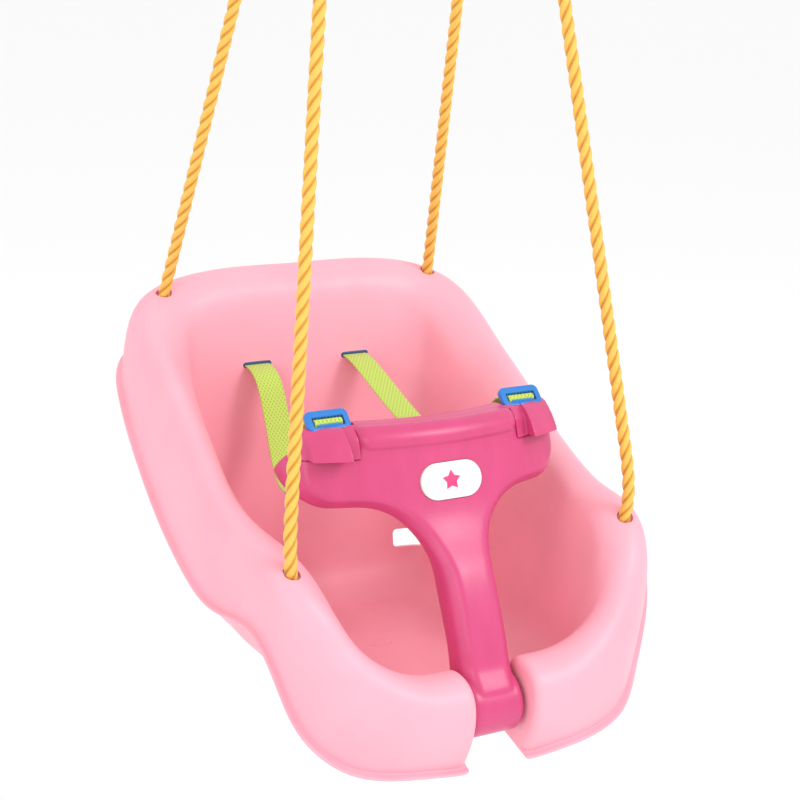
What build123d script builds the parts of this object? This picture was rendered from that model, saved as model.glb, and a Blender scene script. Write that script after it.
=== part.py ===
"""Toddler bucket swing: moulded bucket seat on two ropes, with a hinged T-shaped guard.

Seat coordinates: origin midway between the two front rope holes, +X to the right of someone
facing the seat's front, +Y towards the backrest, +Z up.  hung() moves them into the part's own
frame, whose origin is on the axis that the swing hangs from.  Everything that swings is built
there and turned about that axis by REST_LEAN as it is written, so that it is stored hanging.
"""
from build123d import *
from math import cos, pi, radians, sin
import os

os.makedirs("parts", exist_ok=True)

# ---------------------------------------------------------------- driving dimensions (mm)
HANG_BACK = 74.0          # hanging axis behind the front rope holes
HANG_HEIGHT = 786.0       # hanging axis above the front rope holes
REST_LEAN = -3.78         # turn about +X that brings the balance point under the hanging axis
WALL = 4.0                # seat moulding

FLOOR_Z = -135.0          # top of the bucket's floor
FLOOR_ROUND = 38.0        # width of the rounding between the floor and the side walls
FLOOR_MIDDLE_Y = 145.0
FLOOR_PULL = 0.28         # share of the way to the middle taken by the front and back roundings
FOOT_HALF = 121.0         # half of the bucket's width at the foot of its walls
GAP_HALF = 27.0           # half of the gap in the front rim, which takes the guard's knuckle
LIP_FLARE = 4.5           # small flange along the lower edge of the skirt
LIP_DROP = 1.5
INNER_ROUND = 13.0        # how far from the rim's inner edge its rounding starts, on both sides
INNER_PULL = 8.0
SHOULDER_REACH = 0.62     # share of the skirt's reach at which the rim turns down
SHOULDER_EXTRA = 5.0
SKIRT_OUT = 0.9           # share of the reach that is made before the skirt's straight fall
HEM_RISE = 0.52           # share of the skirt's length that falls nearly straight
SHOULDER_BULGE = 0.9      # share of a station's bulge that its shoulder takes


def hung(x, y, z):
    """Seat coordinates to the part's frame."""
    return Vector(x, y - HANG_BACK, z - HANG_HEIGHT)


# ---------------------------------------------------------------- bucket seat outlines
# Right half of the seat, from the gap in front round to the middle of the back.  Each station
# has the foot of the bucket's wall, the inner edge of the rim, its crest, the skirt's lip and
# how far the skirt bulges outwards between its crest and its lip.
STATIONS = [
    ((27, -2, -112), (27, -25, -93), (27, -37, -85.5), (27, -50, -164), 29),
    ((62, -2, -112), (62, -25, -93), (62, -37, -84), (62, -58, -156.5), 20),
    ((85, 1, -110), (90, -23, -84), (95, -38, -70), (98, -51, -153.5), 16),
    ((98, 6, -108), (108, -22, -66), (118, -35, -50), (129, -38, -145), 14),
    ((108, 15, -106), (120, -16, -37), (136, -28, -24), (155, -18, -118), 12),
    ((115, 28, -105), (129, 2, -6), (149, -10, -2), (170, -8, -77), 8),
    ((119, 48, -105), (134, 24, 8), (156, 14, 13), (179, 10, -44), 4),
    ((120, 75, -105), (138, 58, 16), (161, 52, 20), (183, 58, -41), 0),
    ((121, 110, -105), (146, 92, 24), (165, 92, 31), (184, 108, -42), 0),
    ((121, 150, -104), (147, 136, 39), (165, 134, 54), (184, 164, -22), 0),
    ((121, 195, -102), (141, 182, 60), (164, 180, 86), (184, 216, 10), 0),
    ((119, 235, -98), (135, 228, 86), (162, 226, 116), (182, 268, 49), 0),
    ((119, 262, -95), (128, 266, 118), (158, 268, 145), (179, 305, 82), 0),
    ((116, 277, -93), (121, 287, 143), (149, 294, 163), (172, 330, 104), 0),
    ((106, 286, -92), (109, 298, 158), (128, 317, 178), (147, 350, 121), 0),
    ((80, 290, -92), (86, 303, 167), (92, 327, 186), (98, 353, 127), 0),
    ((0, 290, -92), (0, 304, 170), (0, 329, 188), (0, 353, 128), 0),
]


def on_bezier(a, b, c, d, t):
    """Point at t on the cubic curve with the control points a, b, c, d."""
    s = 1 - t
    return a * s**3 + b * (3 * s * s * t) + c * (3 * s * t * t) + d * t**3


def to_floor(foot):
    """Level step from a point at the foot of the wall to the edge of the flat floor."""
    sideways = max(0, (foot.X - GAP_HALF) / (FOOT_HALF - GAP_HALF))
    lengthways = (hung(0, FLOOR_MIDDLE_Y, 0).Y - foot.Y) * FLOOR_PULL
    return Vector(-FLOOR_ROUND * sideways**2, lengthways, 0)


def wall_section(k):
    """The seat's section at station k, from the floor, up the wall and over the rim."""
    foot, inner, crest, lip = (hung(*point) for point in STATIONS[k][:4])
    bulge = STATIONS[k][4]
    outward = Vector(crest.X - inner.X, crest.Y - inner.Y, 0).normalized()
    floor_z = hung(0, 0, FLOOR_Z).Z
    drop = foot.Z - floor_z
    section = []
    for turn in (90, 60, 30):
        inset = to_floor(foot) * (1 - cos(radians(turn)))
        section.append(foot + inset - Vector(0, 0, drop * sin(radians(turn))))
    section.append(foot)
    wall_rise = (inner - foot).normalized()
    wall_top = inner - wall_rise * INNER_ROUND
    wall_pull = wall_top + wall_rise * INNER_PULL
    for t in (0, 0.33, 0.66):
        section.append(on_bezier(wall_top, wall_pull, crest - outward * INNER_ROUND, crest, t))
    skirt_reach = (lip - crest).dot(outward)
    skirt_down = (lip - crest - outward * skirt_reach * SKIRT_OUT).normalized()
    skirt_length = (lip - crest).length
    shoulder_out = skirt_reach * SHOULDER_REACH + SHOULDER_EXTRA + bulge * SHOULDER_BULGE
    shoulder = crest + outward * shoulder_out
    hem = lip - skirt_down * skirt_length * HEM_RISE + outward * bulge
    for t in (0, 0.2, 0.4, 0.6, 0.8, 1):
        section.append(on_bezier(crest, shoulder, hem, lip, t))
    section.append(lip + outward * LIP_FLARE - Vector(0, 0, LIP_DROP))
    return section


NOTCH_ROW = 3             # the foot of the wall, where the front wall stops inside the gap
upper_skin = [wall_section(k) for k in range(len(STATIONS))]
row_count = len(upper_skin[0])
last = len(upper_skin) - 1
X_WAYS = Vector(1, 0, 0)


def rim_direction(station, row):
    """Direction of travel round the rim at a station."""
    if station == 0:
        return X_WAYS
    if station == last:
        return -X_WAYS
    return (upper_skin[station + 1][row] - upper_skin[station - 1][row]).normalized()


def section_direction(station, row):
    """Direction along the section, from the floor out to the lip."""
    low, high = max(row - 1, 0), min(row + 1, row_count - 1)
    return (upper_skin[station][high] - upper_skin[station][low]).normalized()


def under(station, row):
    """Point of the under skin, one wall thickness behind the upper skin."""
    point = upper_skin[station][row]
    if row == 0:
        return point - Vector(0, 0, WALL)
    normal = section_direction(station, row).cross(rim_direction(station, row)).normalized()
    return point - normal * WALL


under_skin = [[under(s, r) for r in range(row_count)] for s in range(last + 1)]


def along_rim(skin, row):
    """Smooth edge through one row of a skin, level and square to the middle plane at its ends."""
    points = [skin[station][row] for station in range(last + 1)]
    return Edge.make_spline(points, tangents=[X_WAYS, -X_WAYS], scale=False)


def front_run(skin, row):
    """Straight edge across the front of the bucket, from the middle plane to the gap."""
    end = skin[0][row]
    return Edge.make_line(Vector(0, end.Y, end.Z), end)


def skin_faces(skin):
    """Faces of one skin: floor, wall, rim and skirt, and the front wall below the gap."""
    edges = [along_rim(skin, row) for row in range(row_count)]
    runs = [front_run(skin, row) for row in range(NOTCH_ROW + 1)]
    faces = [Face.make_surface_from_curves(a, b) for a, b in zip(edges, edges[1:])]
    faces += [Face.make_surface_from_curves(a, b) for a, b in zip(runs, runs[1:])]
    middle = Edge.make_line(skin[last][0], Vector(0, skin[0][0].Y, skin[0][0].Z))
    faces.append(Face(Wire([runs[0], edges[0], middle])))
    return faces, edges, runs


def polygon_face(points):
    return Face(Wire.make_polygon(points, close=True))


upper_faces, upper_edges, upper_runs = skin_faces(upper_skin)
under_faces, under_edges, under_runs = skin_faces(under_skin)
lip_face = Face.make_surface_from_curves(upper_edges[-1], under_edges[-1])
notch_face = Face.make_surface_from_curves(upper_runs[-1], under_runs[-1])
gap_end = polygon_face(upper_skin[0][NOTCH_ROW:] + under_skin[0][:NOTCH_ROW - 1:-1])
front_upper = [Vector(0, p.Y, p.Z) for p in upper_skin[0][NOTCH_ROW::-1]]
front_under = [Vector(0, p.Y, p.Z) for p in under_skin[0][NOTCH_ROW::-1]]
middle_end = polygon_face(
    front_upper + upper_skin[last] + under_skin[last][::-1] + front_under[::-1]
)
half_shell = Solid(
    Shell(upper_faces + under_faces + [lip_face, notch_face, gap_end, middle_end])
)


# ---------------------------------------------------------------- small helpers
def tilted(origin, normal, x_dir=(1, 0, 0)):
    """Plane at a point given in seat coordinates, facing along normal."""
    return Plane(origin=hung(*origin), x_dir=x_dir, z_dir=normal)


def export(builder, name, lean=REST_LEAN):
    """Writes a finished piece, turned about the hanging axis."""
    piece = builder.part.rotate(Axis.X, lean)
    piece.label = name
    export_step(piece, f"parts/{name}.step")


SIDES = (("left", -1), ("right", 1))

# ---------------------------------------------------------------- ropes: where they run
ROPE_R = 5.5
ROPE_HOLE_R = 7.2
RING_X = 71.0
RING_R = 22.0             # to the middle of the ring's bar
RING_BAR_R = 3.5
LEG_OFFSET = 6.0          # half of the distance between the two legs inside the clamp
CLAMP_LOW, CLAMP_HIGH = -51.0, -29.0
CLAMP_WALL, CLAMP_FIT = 3.0, 0.1
KNOT_R, KNOT_LENGTH, KNOT_ROUND = 11.5, 20.0, 4.5
KNOT_TAIL = 20.0

RING_LEG_Z = 9.0          # how far outside the clamp the legs start to spread

REAR_HOLE = hung(136, 310.5, 175)
REAR_KNOT = hung(139, 322, 147)
FRONT_HOLE = hung(155, 0, 0)
FRONT_KNOT = hung(154, 8, -22)
FRONT_BEND = hung(158, -4, 30)
RING_CLEAR = 0.3
SIDE_CORNER = 24.0        # degrees above level of the route's corners beside the ring's bar
over_ring_r = RING_BAR_R + ROPE_R + RING_CLEAR
ring_corner = over_ring_r / cos(radians((90 - SIDE_CORNER) / 2))
side_corner_y = ring_corner * cos(radians(SIDE_CORNER))
side_corner_z = ring_corner * sin(radians(SIDE_CORNER))

ROPE_ROUTE = [
    REAR_KNOT,
    Vector(RING_X, LEG_OFFSET, CLAMP_LOW - RING_LEG_Z),
    Vector(RING_X, LEG_OFFSET, CLAMP_HIGH + RING_LEG_Z),
    Vector(RING_X, side_corner_y, side_corner_z),
    Vector(RING_X, 0, ring_corner),
    Vector(RING_X, -side_corner_y, side_corner_z),
    Vector(RING_X, -LEG_OFFSET, CLAMP_HIGH + RING_LEG_Z),
    Vector(RING_X, -LEG_OFFSET, CLAMP_LOW - RING_LEG_Z),
    FRONT_BEND,
    FRONT_HOLE,
    FRONT_KNOT,
]
CLAMP_BEND_R = 33.0
RING_BEND_R = over_ring_r - RING_CLEAR
HOLE_BEND_R = 60.0
ROPE_RADII = [CLAMP_BEND_R] * 2 + [RING_BEND_R] * 3 + [CLAMP_BEND_R] * 2 + [HOLE_BEND_R] * 2


def to_side(point, side):
    return Vector(side * point.X, point.Y, point.Z)


# ---------------------------------------------------------------- seat shell
AXLE_Y, AXLE_Z = -31.0, -122.0
AXLE_R = 4.0
AXLE_BORE_R = 4.05
CHEEK = 4.0
BOSS_R, BOSS_LENGTH = 9.0, 8.0
SLOT_X, SLOT_Z = 50.7, 99.5
SLOT_WIDTH, SLOT_HEIGHT = 28.0, 5.0
BACK_HOLE_X, BACK_HOLE_Z = 101.0, -88.0
BACK_HOLE_WIDTH, BACK_HOLE_HEIGHT = 30.0, 18.0
DRAIN_LENGTH, DRAIN_WIDTH, DRAIN_Y = 24.0, 2.5, 150.0
HOLE_DEPTH, SLOT_DEPTH, OPENING_DEPTH, DRAIN_DEPTH = 20.0, 14.0, 26.0, 10.0
SLOT_FACE_Y, BACK_FACE_Y = 300.0, 282.0
OPENING_CORNER_R = 4.0
LOWEST_CHEEK_ROW = 1

cheek_outline = [
    (u + v) * 0.5
    for u, v in zip(upper_skin[0][LOWEST_CHEEK_ROW:], under_skin[0][LOWEST_CHEEK_ROW:])
]
side_view = Plane(origin=(0, 0, 0), x_dir=(0, 1, 0), z_dir=(1, 0, 0))
axle_point = hung(0, AXLE_Y, AXLE_Z)

with BuildPart() as seat_shell:
    add(half_shell)
    mirror(about=Plane.YZ)
    for name, side in SIDES:
        # end wall of the rim at the gap, with the boss that carries the axle
        inner_face = side_view.offset(side * GAP_HALF)
        with BuildSketch(inner_face):
            with BuildLine():
                Polyline([(p.Y, p.Z) for p in cheek_outline], close=True)
            make_face()
        extrude(amount=side * CHEEK)
        with BuildSketch(inner_face):
            with Locations((axle_point.Y, axle_point.Z)):
                Circle(BOSS_R)
        extrude(amount=side * BOSS_LENGTH)
        with BuildSketch(inner_face):
            with Locations((axle_point.Y, axle_point.Z)):
                Circle(AXLE_BORE_R)
        extrude(amount=side * BOSS_LENGTH, mode=Mode.SUBTRACT)
        # rope holes, along the rope
        for top, low in ((REAR_HOLE, REAR_KNOT), (FRONT_HOLE, FRONT_KNOT)):
            along = to_side(low, side) - to_side(top, side)
            with BuildSketch(Plane(origin=to_side(top, side), z_dir=along)):
                Circle(ROPE_HOLE_R)
            extrude(amount=HOLE_DEPTH, both=True, mode=Mode.SUBTRACT)
        # shoulder strap slot and lower opening in the backrest
        with BuildSketch(tilted((side * SLOT_X, SLOT_FACE_Y, SLOT_Z), (0, 1, 0))):
            SlotOverall(SLOT_WIDTH, SLOT_HEIGHT)
        extrude(amount=SLOT_DEPTH, both=True, mode=Mode.SUBTRACT)
        with BuildSketch(tilted((side * BACK_HOLE_X, BACK_FACE_Y, BACK_HOLE_Z), (0, 1, 0))):
            RectangleRounded(BACK_HOLE_WIDTH, BACK_HOLE_HEIGHT, OPENING_CORNER_R)
        extrude(amount=OPENING_DEPTH, both=True, mode=Mode.SUBTRACT)
    with BuildSketch(tilted((0, DRAIN_Y, FLOOR_Z), (0, 0, 1))):
        SlotOverall(DRAIN_LENGTH, DRAIN_WIDTH)
    extrude(amount=DRAIN_DEPTH, both=True, mode=Mode.SUBTRACT)
export(seat_shell, "seat_shell")


# ---------------------------------------------------------------- hinged guard (T-bar)
KNUCKLE_R = 25.5
STEM_HALF = 23.5
WING_HALF = 126.0
WING_LOW, WING_HIGH = 33.0, 98.6
WING_END_R = 28.0
ARMPIT_R = 55.0           # large rounding between the wings and the stem
BOW_CENTRE_Y = 276.0      # the guard is bowed about this vertical line
BOW_ARC = 34.0
GUARD_BORE_R = AXLE_R + 0.06
KNUCKLE_FRONT, KNUCKLE_REAR = 155, 40   # where the knuckle's round meets the stem, in degrees
GUARD_FRONT = [(-50, -102), (-41.5, -90), (-37.6, -78), (-31, -58), (-11, -13),
               (26, 51), (33, 82), (36, 94)]
GUARD_BACK = [(42, 98), (60, 98), (70, 84), (62, 45), (23, -15), (9.4, -45), (-2.3, -71),
              (-7.5, -90)]
CHANNEL_X = 91.0          # middle of each buckle and of its channel in the guard
CHANNEL_WIDTH = 26.0
CHANNEL_FRONT, CHANNEL_LOW = 60.0, 60.0
SHOULDER_X = 69.5         # where the lowered shoulder behind each latch begins
SHOULDER_FRONT, SHOULDER_BACK, SHOULDER_TOP = (56, 90), (100, 56), 120
HOOD_X, HOOD_WIDTH = 97.0, 45.0
HOOD_FRONT, HOOD_LOW, HOOD_HIGH = 39.0, 74.0, 95.0
BADGE_Z, BADGE_FRONT = 51.0, 24.4
BADGE_WIDTH, BADGE_HEIGHT, BADGE_THICK = 56.0, 31.0, 3.4
BADGE_LEAN = 13.0
BADGE_CHAMFER = 0.8
STAR_OUTER, STAR_INNER, STAR_RAISED = 10.0, 5.0, 1.0
BADGE_GAP = 0.3           # between the badge and its seat, all round
STEM_FOOT_Z = -152.0      # lower end of the stem's outline, below the knuckle
HEAD_OVERLAP = 10.0       # how far the stem's outline reaches into the head's
FAR = 150.0               # a cut that passes right through

pin_y, pin_z = axle_point.Y, axle_point.Z


def on_knuckle(angle):
    """Point of the knuckle's round in the side view, its angle counted from +Y towards +Z."""
    turn = radians(angle)
    return pin_y + KNUCKLE_R * cos(turn), pin_z + KNUCKLE_R * sin(turn)


with BuildPart() as t_bar:
    # side section, turned about the bow's axis
    stem_side = [(hung(0, *p).Y, hung(0, *p).Z) for p in GUARD_FRONT + GUARD_BACK]
    with BuildSketch(side_view):
        with BuildLine():
            Polyline([on_knuckle(KNUCKLE_FRONT)] + stem_side + [on_knuckle(KNUCKLE_REAR)])
            ThreePointArc(on_knuckle(KNUCKLE_REAR), on_knuckle(-90), on_knuckle(KNUCKLE_FRONT))
        make_face()
    bow_axis = Axis(hung(0, BOW_CENTRE_Y, 0), (0, 0, 1))
    revolve(axis=bow_axis, revolution_arc=BOW_ARC)
    mirror(about=Plane.YZ)
    # front outline
    front_view = Plane(origin=hung(0, 0, 0), x_dir=(1, 0, 0), z_dir=(0, -1, 0))
    with BuildSketch(front_view) as outline:
        with Locations((0, (WING_LOW + WING_HIGH) / 2)):
            RectangleRounded(2 * WING_HALF, WING_HIGH - WING_LOW, WING_END_R)
        stem_top = WING_LOW + HEAD_OVERLAP
        with Locations((0, (STEM_FOOT_Z + stem_top) / 2)):
            Rectangle(2 * STEM_HALF, stem_top - STEM_FOOT_Z)
        armpits = outline.vertices().filter_by_position(Axis.Y, WING_LOW - 0.1, WING_LOW + 0.1)
        fillet([v for v in armpits if abs(abs(v.X) - STEM_HALF) < 0.1], ARMPIT_R)
    extrude(amount=FAR, both=True, mode=Mode.INTERSECT)
    with BuildSketch(side_view):
        with Locations((pin_y, pin_z)):
            Circle(GUARD_BORE_R)
    extrude(amount=FAR, both=True, mode=Mode.SUBTRACT)
    for name, side in SIDES:
        # lowered shoulder behind the latch, then the channel for the buckle's tongue
        edge = side_view.offset(side * SHOULDER_X)
        with BuildSketch(edge):
            with BuildLine():
                Polyline(
                    [(hung(0, *p).Y, hung(0, *p).Z) for p in (
                        SHOULDER_FRONT, (SHOULDER_FRONT[0], SHOULDER_TOP),
                        (SHOULDER_BACK[0], SHOULDER_TOP), SHOULDER_BACK)],
                    close=True,
                )
            make_face()
        extrude(amount=side * FAR, mode=Mode.SUBTRACT)
        with BuildSketch(tilted((side * CHANNEL_X, CHANNEL_FRONT, CHANNEL_LOW), (0, 1, 0))):
            Rectangle(CHANNEL_WIDTH, FAR, align=(Align.CENTER, Align.MAX))
        extrude(amount=FAR, mode=Mode.SUBTRACT)
        # seat of the latch hood
        with BuildSketch(tilted((side * HOOD_X, 0, HOOD_LOW), (0, -1, 0))):
            Rectangle(HOOD_WIDTH, FAR, align=(Align.CENTER, Align.MIN))
        extrude(amount=-CHANNEL_FRONT, mode=Mode.SUBTRACT)
    # flat seat of the badge
    lean = radians(BADGE_LEAN)
    badge_plane = tilted((0, BADGE_FRONT, BADGE_Z), (0, -cos(lean), sin(lean)))
    with BuildSketch(badge_plane.offset(-BADGE_THICK)):
        SlotOverall(BADGE_WIDTH + 2 * BADGE_GAP, BADGE_HEIGHT)
    extrude(amount=FAR, mode=Mode.SUBTRACT)
export(t_bar, "t_bar")

with BuildPart() as badge_plate:
    with BuildSketch(badge_plane.offset(-BADGE_THICK)):
        SlotOverall(BADGE_WIDTH, BADGE_HEIGHT - 2 * BADGE_GAP)
    extrude(amount=BADGE_THICK)
    chamfer(badge_plate.faces().sort_by(Axis.Y)[0].edges(), BADGE_CHAMFER)
export(badge_plate, "badge_plate")

with BuildPart() as badge_emblem:
    with BuildSketch(badge_plane):
        with BuildLine():
            points = [
                (radius * sin(pi * k / 5), radius * cos(pi * k / 5))
                for k, radius in enumerate([STAR_OUTER, STAR_INNER] * 5)
            ]
            Polyline(points, close=True)
        make_face()
    extrude(amount=STAR_RAISED)
export(badge_emblem, "badge_emblem")

# ---------------------------------------------------------------- latch hoods on the guard
RECESS_WIDTH, RECESS_HIGH, RECESS_DEPTH = 30.0, 11.0, 13.0
HOOD_TOP_R, HOOD_SIDE_R = 9.0, 5.0

for name, side in SIDES:
    with BuildPart() as latch_hood:
        with BuildSketch(tilted((side * HOOD_X, HOOD_FRONT, HOOD_LOW), (0, -1, 0))):
            Rectangle(HOOD_WIDTH, HOOD_HIGH - HOOD_LOW, align=(Align.CENTER, Align.MIN))
        extrude(amount=-(CHANNEL_FRONT - HOOD_FRONT))
        front = latch_hood.faces().sort_by(Axis.Y)[0]
        fillet(front.edges().group_by(Axis.Z)[-1], HOOD_TOP_R)
        fillet(latch_hood.edges().filter_by(Axis.Z).group_by(Axis.Y)[0], HOOD_SIDE_R)
        with BuildSketch(tilted((side * HOOD_X, HOOD_FRONT, HOOD_LOW), (0, -1, 0))):
            Rectangle(RECESS_WIDTH, RECESS_HIGH, align=(Align.CENTER, Align.MIN))
        extrude(amount=-RECESS_DEPTH, mode=Mode.SUBTRACT)
    export(latch_hood, f"latch_hood_{name}")

# ---------------------------------------------------------------- buckles and shoulder straps
FRAME_WIDTH, FRAME_HIGH, FRAME_THICK = 38.0, 19.0, 5.0
WINDOW_WIDTH, WINDOW_HIGH = 27.0, 8.5
FRAME_Y, FRAME_Z = 67.5, 101.5
FRAME_CORNER_R = 4.0
TONGUE_WIDTH, TONGUE_THICK, TONGUE_LOW, TONGUE_HIGH = 22.0, 4.6, 72.0, 95.5
TONGUE_GAP = 0.6          # between the tongue and the front of its channel
STRAP_WIDTH, STRAP_THICK = 25.0, 1.8

for name, side in SIDES:
    with BuildPart() as buckle:
        frame_plane = tilted((side * CHANNEL_X, FRAME_Y, FRAME_Z), (0, -1, 1))
        with BuildSketch(frame_plane):
            RectangleRounded(FRAME_WIDTH, FRAME_HIGH, FRAME_CORNER_R)
            Rectangle(WINDOW_WIDTH, WINDOW_HIGH, mode=Mode.SUBTRACT)
        extrude(amount=FRAME_THICK / 2, both=True)
        tongue_front = CHANNEL_FRONT + TONGUE_GAP
        tongue_plane = tilted((side * CHANNEL_X, tongue_front, TONGUE_LOW), (0, 1, 0))
        with BuildSketch(tongue_plane):
            Rectangle(TONGUE_WIDTH, TONGUE_HIGH - TONGUE_LOW, align=(Align.CENTER, Align.MAX))
        extrude(amount=TONGUE_THICK)
    export(buckle, f"buckle_{name}")

# Middle line of each strap, from its anchor behind the backrest to the buckle.
STRAP_LEFT = [(50.7, 314, 98), (50.7, 299, 99), (50.7, 279, 92), (51, 262, 68), (53, 246, 42),
              (59, 222, 22), (70, 180, 14), (82, 135, 28), (89, 104, 62), (91, 92, 92)]
STRAP_RIGHT = [(50.7, 314, 98), (50.7, 299, 99), (51.5, 275, 92), (54, 240, 75), (58, 200, 56),
               (66, 160, 40), (76, 128, 36), (86, 107, 52), (90, 98, 74), (91, 90, 95)]


def ribbon(middle, width, thick):
    """Flat band of webbing along a middle line, its width along X."""
    corners = [(-1, -1), (1, -1), (1, 1), (-1, 1)]
    last_point = len(middle) - 1
    rails = [[], [], [], []]
    for k, point in enumerate(middle):
        ahead = middle[min(k + 1, last_point)] - middle[max(k - 1, 0)]
        normal = Vector(0, -ahead.Z, ahead.Y).normalized()
        for rail, (across, deep) in zip(rails, corners):
            rail.append(point + X_WAYS * (across * width / 2) + normal * (deep * thick / 2))
    edges = [Edge.make_spline(rail) for rail in rails]
    faces = [Face.make_surface_from_curves(a, b) for a, b in zip(edges, edges[1:] + edges[:1])]
    faces += [polygon_face([rail[0] for rail in rails]), polygon_face([r[-1] for r in rails])]
    return Solid(Shell(faces))


ANCHOR_WIDTH, ANCHOR_HEIGHT, ANCHOR_THICK = 38.0, 16.0, 5.0
ANCHOR_Y, ANCHOR_Z = 314.4, 98.0
ANCHOR_CORNER_R = 3.0

for (name, side), middle in zip(SIDES, (STRAP_LEFT, STRAP_RIGHT)):
    band = ribbon([hung(side * x, y, z) for x, y, z in middle], STRAP_WIDTH, STRAP_THICK)
    with BuildPart() as strap:
        add(band)
    export(strap, f"shoulder_strap_{name}")
    with BuildPart() as anchor:
        with BuildSketch(tilted((side * SLOT_X, ANCHOR_Y, ANCHOR_Z), (0, 1, 0))):
            RectangleRounded(ANCHOR_WIDTH, ANCHOR_HEIGHT, ANCHOR_CORNER_R)
        extrude(amount=ANCHOR_THICK)
    export(anchor, f"strap_anchor_{name}")

# ---------------------------------------------------------------- hinge axle and its caps
AXLE_PROUD = 5.0          # how far the axle stands out of each boss
AXLE_HALF = GAP_HALF + BOSS_LENGTH + AXLE_PROUD
CAP_R, CAP_THICK, CAP_GAP = 7.0, 4.0, 0.2

with BuildPart() as hinge_axle:
    with BuildSketch(side_view):
        with Locations((pin_y, pin_z)):
            Circle(AXLE_R)
    extrude(amount=AXLE_HALF, both=True)
export(hinge_axle, "hinge_axle")

for name, side in SIDES:
    with BuildPart() as cap:
        with BuildSketch(side_view.offset(side * (GAP_HALF + BOSS_LENGTH + CAP_GAP))):
            with Locations((pin_y, pin_z)):
                Circle(CAP_R)
                Circle(AXLE_R, mode=Mode.SUBTRACT)
        extrude(amount=side * CAP_THICK)
    export(cap, f"axle_cap_{name}")

# ---------------------------------------------------------------- ropes, clamps, knots, rings
for name, side in SIDES:
    route = [to_side(point, side) for point in ROPE_ROUTE]
    with BuildPart() as rope:
        with BuildLine() as rope_line:
            FilletPolyline(*route, radius=ROPE_RADII)
        rope_path = rope_line.wire()
        with BuildSketch(Plane(origin=rope_path @ 0, z_dir=rope_path % 0)):
            Circle(ROPE_R)
        sweep(path=rope_path)
    rope_length = rope_path.length
    section_volume = pi * ROPE_R**2 * rope_length
    print("rope", name, "length", rope_length, "volume ratio", rope.part.volume / section_volume)
    export(rope, f"rope_{name}")

    with BuildPart() as clamp:
        clamp_plane = Plane(origin=(side * RING_X, 0, CLAMP_LOW), x_dir=(0, 1, 0), z_dir=(0, 0, 1))
        with BuildSketch(clamp_plane):
            SlotOverall(2 * (LEG_OFFSET + ROPE_R + CLAMP_WALL), 2 * (ROPE_R + CLAMP_WALL))
            with Locations((-LEG_OFFSET, 0), (LEG_OFFSET, 0)):
                Circle(ROPE_R + CLAMP_FIT, mode=Mode.SUBTRACT)
        extrude(amount=CLAMP_HIGH - CLAMP_LOW)
    export(clamp, f"rope_clamp_{name}")

    for place, top, above in (("rear", route[0], route[1]), ("front", route[-1], route[-2])):
        with BuildPart() as knot:
            with BuildSketch(Plane(origin=top, z_dir=top - above)) as knot_section:
                Circle(KNOT_R)
            extrude(amount=KNOT_LENGTH)
            fillet(knot.edges().filter_by(GeomType.CIRCLE), KNOT_ROUND)
            with BuildSketch(knot_section.workplanes[0].offset(KNOT_LENGTH)):
                Circle(ROPE_R)
            extrude(amount=KNOT_TAIL)
        export(knot, f"rope_knot_{place}_{name}")

for name, side in SIDES:
    with BuildPart() as ring:
        with Locations(Plane(origin=(side * RING_X, 0, RING_R), z_dir=(0, -1, 0)).location):
            Torus(RING_R, RING_BAR_R)
    export(ring, f"ring_{name}", lean=0)
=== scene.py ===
"""Looks of the toddler bucket swing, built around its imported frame.

Seat coordinates are millimetres: origin midway between the two front rope holes, +X to the
right of someone who faces the seat, +Y towards the backrest, +Z up.  hang() turns them into
the frame's metres, with everything that swings turned to where it hangs at rest.
"""
from math import cos, pi, radians, sin, sqrt

import bmesh
import bpy
import numpy as np
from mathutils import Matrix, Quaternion, Vector


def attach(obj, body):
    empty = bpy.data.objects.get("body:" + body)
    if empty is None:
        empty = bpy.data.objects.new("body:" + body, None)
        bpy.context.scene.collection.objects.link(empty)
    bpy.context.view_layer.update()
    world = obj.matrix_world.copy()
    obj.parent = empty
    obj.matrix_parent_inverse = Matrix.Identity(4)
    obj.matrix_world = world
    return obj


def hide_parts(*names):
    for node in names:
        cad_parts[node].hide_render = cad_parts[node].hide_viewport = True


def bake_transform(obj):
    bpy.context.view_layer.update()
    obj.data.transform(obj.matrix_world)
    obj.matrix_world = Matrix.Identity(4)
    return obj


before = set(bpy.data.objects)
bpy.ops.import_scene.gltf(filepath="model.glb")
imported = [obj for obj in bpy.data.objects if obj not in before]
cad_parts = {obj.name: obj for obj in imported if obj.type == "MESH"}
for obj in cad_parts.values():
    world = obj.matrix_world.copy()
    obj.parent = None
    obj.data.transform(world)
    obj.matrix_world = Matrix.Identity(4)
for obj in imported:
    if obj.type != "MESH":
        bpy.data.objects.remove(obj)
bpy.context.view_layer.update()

MM = 0.001
HANG = np.array((0.0, 74.0, 786.0))
REST_LEAN = radians(-3.78)
SIDES = (("left", -1), ("right", 1))
UP = np.array((0.0, 0.0, 1.0))
RING_X = 71.0             # of each hanging ring, to the side of the middle
SLOT_X, SLOT_Z = 50.7, 99.5   # of each shoulder strap's slot in the backrest
BUCKLE_X = 91.0           # of each buckle, to the side of the middle


# ---------------------------------------------------------------- camera
def make_camera():
    """Camera at the front left of the swing, a little above the seat."""
    azimuth, elevation = radians(-28.16), radians(13.36)
    data = bpy.data.cameras.new("camera")
    data.lens = 76.5
    data.sensor_width = 36.0
    back = Vector((sin(azimuth) * cos(elevation), -cos(azimuth) * cos(elevation), sin(elevation)))
    eye = bpy.data.objects.new("camera", data)
    swing = Quaternion((1, 0, 0), REST_LEAN)
    eye.location = swing @ Vector((-0.66457, -1.20206, -0.35253))
    eye.rotation_mode = "QUATERNION"
    eye.rotation_quaternion = swing @ (-back).to_track_quat("-Z", "Y")
    bpy.context.scene.collection.objects.link(eye)
    bpy.context.scene.camera = eye


make_camera()


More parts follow.
